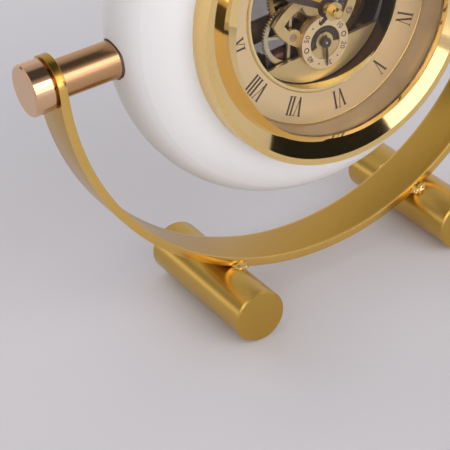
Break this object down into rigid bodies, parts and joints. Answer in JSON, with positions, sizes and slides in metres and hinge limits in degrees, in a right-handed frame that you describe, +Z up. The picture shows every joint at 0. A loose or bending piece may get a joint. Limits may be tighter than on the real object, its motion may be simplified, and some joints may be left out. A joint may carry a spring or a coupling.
{
  "type": "desk clock",
  "caption": "Round desk clock with an open dial and visible wheels, hung between the ends of a half-ring stand of flat bar on two round feet, and free to tilt.",
  "frame": {"origin": "on the floor under the middle of the stand, midway between the two feet and under the tilt axis", "axes": "+Z up, the dial faces -Y, +X runs along the tilt axis to the right cap as the dial is read"},
  "size_m": [0.2118, 0.0656, 0.1856],
  "materials": {
    "satin_gold": "satin",
    "polished_gold": "polished",
    "rose_gold": "polished",
    "rod_gold": "matte",
    "white_case": "satin",
    "champagne": "matte",
    "plate_gold": "satin",
    "steel": "satin",
    "screw_steel": "polished",
    "wheel_white": "satin",
    "wheel_brass": "satin",
    "hand_brown": "satin",
    "dark_plastic": "matte",
    "coil_copper": "gloss",
    "glass": "clear",
    "clear_cover": "clear",
    "cell_wrap": "satin"
  },
  "bodies": {
    "stand": {"stand_band": "satin_gold", "foot_left": "rod_gold", "foot_right": "rod_gold"},
    "head": {"case_ring": "white_case", "spacers": "rose_gold", "spacer_washers": "dark_plastic", "pivot_studs": "steel", "bezel": "satin_gold", "glass": "glass", "dial_wall": "champagne", "chapter_ring": "champagne", "well_ring": "polished_gold", "front_plate": "plate_gold", "back_plate": "plate_gold", "plate_pillars": "plate_gold", "dial_pillars": "plate_gold", "seconds_dial": "champagne", "motion_post": "steel", "drive_block": "dark_plastic", "coil_former": "dark_plastic", "drive_coil": "coil_copper", "cell_holder": "dark_plastic", "cell": "cell_wrap", "cell_contacts": "screw_steel", "back_ring": "satin_gold", "back_cover": "clear_cover"},
    "left_cap": {"cap_left": "rose_gold"},
    "right_cap": {"cap_right": "rose_gold"},
    "minute_work": {"centre_arbor": "steel", "centre_wheel": "wheel_brass", "cannon_pinion": "wheel_brass", "minute_hand": "hand_brown", "minute_collet": "champagne", "hand_nut": "polished_gold"},
    "hour_work": {"hour_wheel": "wheel_brass", "hour_hand": "hand_brown"},
    "motion_work": {"motion_wheel": "wheel_white"},
    "third_work": {"third_wheel": "wheel_white", "third_arbor": "steel"},
    "seconds_work": {"seconds_arbor": "steel", "seconds_wheel": "wheel_white", "seconds_hand": "hand_brown"},
    "setting_work": {"setting_arbor": "steel", "setting_knob": "rose_gold"}
  },
  "joints": [
    {"name": "head_tilt", "type": "hinge", "parent": "stand", "child": "head", "pos_m": [0, 0, 0.11203], "axis": [1, 0, 0], "continuous": true},
    {"name": "left_cap_turn", "type": "hinge", "parent": "head", "child": "left_cap", "pos_m": [-0.1, 0, 0.11203], "axis": [-1, 0, 0], "continuous": true},
    {"name": "right_cap_turn", "type": "hinge", "parent": "head", "child": "right_cap", "pos_m": [0.1, 0, 0.11203], "axis": [1, 0, 0], "continuous": true},
    {"name": "minute_turn", "type": "hinge", "parent": "head", "child": "minute_work", "pos_m": [0, -0.02109, 0.11268], "axis": [0, 0.9995, -0.0305], "continuous": true},
    {"name": "hour_turn", "type": "hinge", "parent": "head", "child": "hour_work", "pos_m": [0, -0.0091, 0.11231], "axis": [0, 0.9995, -0.0305], "continuous": true},
    {"name": "motion_turn", "type": "hinge", "parent": "head", "child": "motion_work", "pos_m": [0.00954, -0.00606, 0.11329], "axis": [0, 0.9995, -0.0305], "continuous": true},
    {"name": "third_turn", "type": "hinge", "parent": "head", "child": "third_work", "pos_m": [-0.01021, -0.00641, 0.10207], "axis": [0, 0.9995, -0.0305], "continuous": true},
    {"name": "seconds_turn", "type": "hinge", "parent": "head", "child": "seconds_work", "pos_m": [0.00105, -0.00655, 0.09726], "axis": [0, 0.9995, -0.0305], "continuous": true},
    {"name": "setting_turn", "type": "hinge", "parent": "head", "child": "setting_work", "pos_m": [0.01355, -0.00133, 0.10442], "axis": [0, 0.9995, -0.0305], "continuous": true}
  ],
  "couplings": [
    {"joint": "hour_turn", "follows": "minute_turn", "ratio": 0.083333},
    {"joint": "motion_turn", "follows": "minute_turn", "ratio": -0.33333},
    {"joint": "third_turn", "follows": "minute_turn", "ratio": -8},
    {"joint": "seconds_turn", "follows": "minute_turn", "ratio": 60},
    {"joint": "setting_turn", "follows": "minute_turn", "ratio": 1}
  ]
}
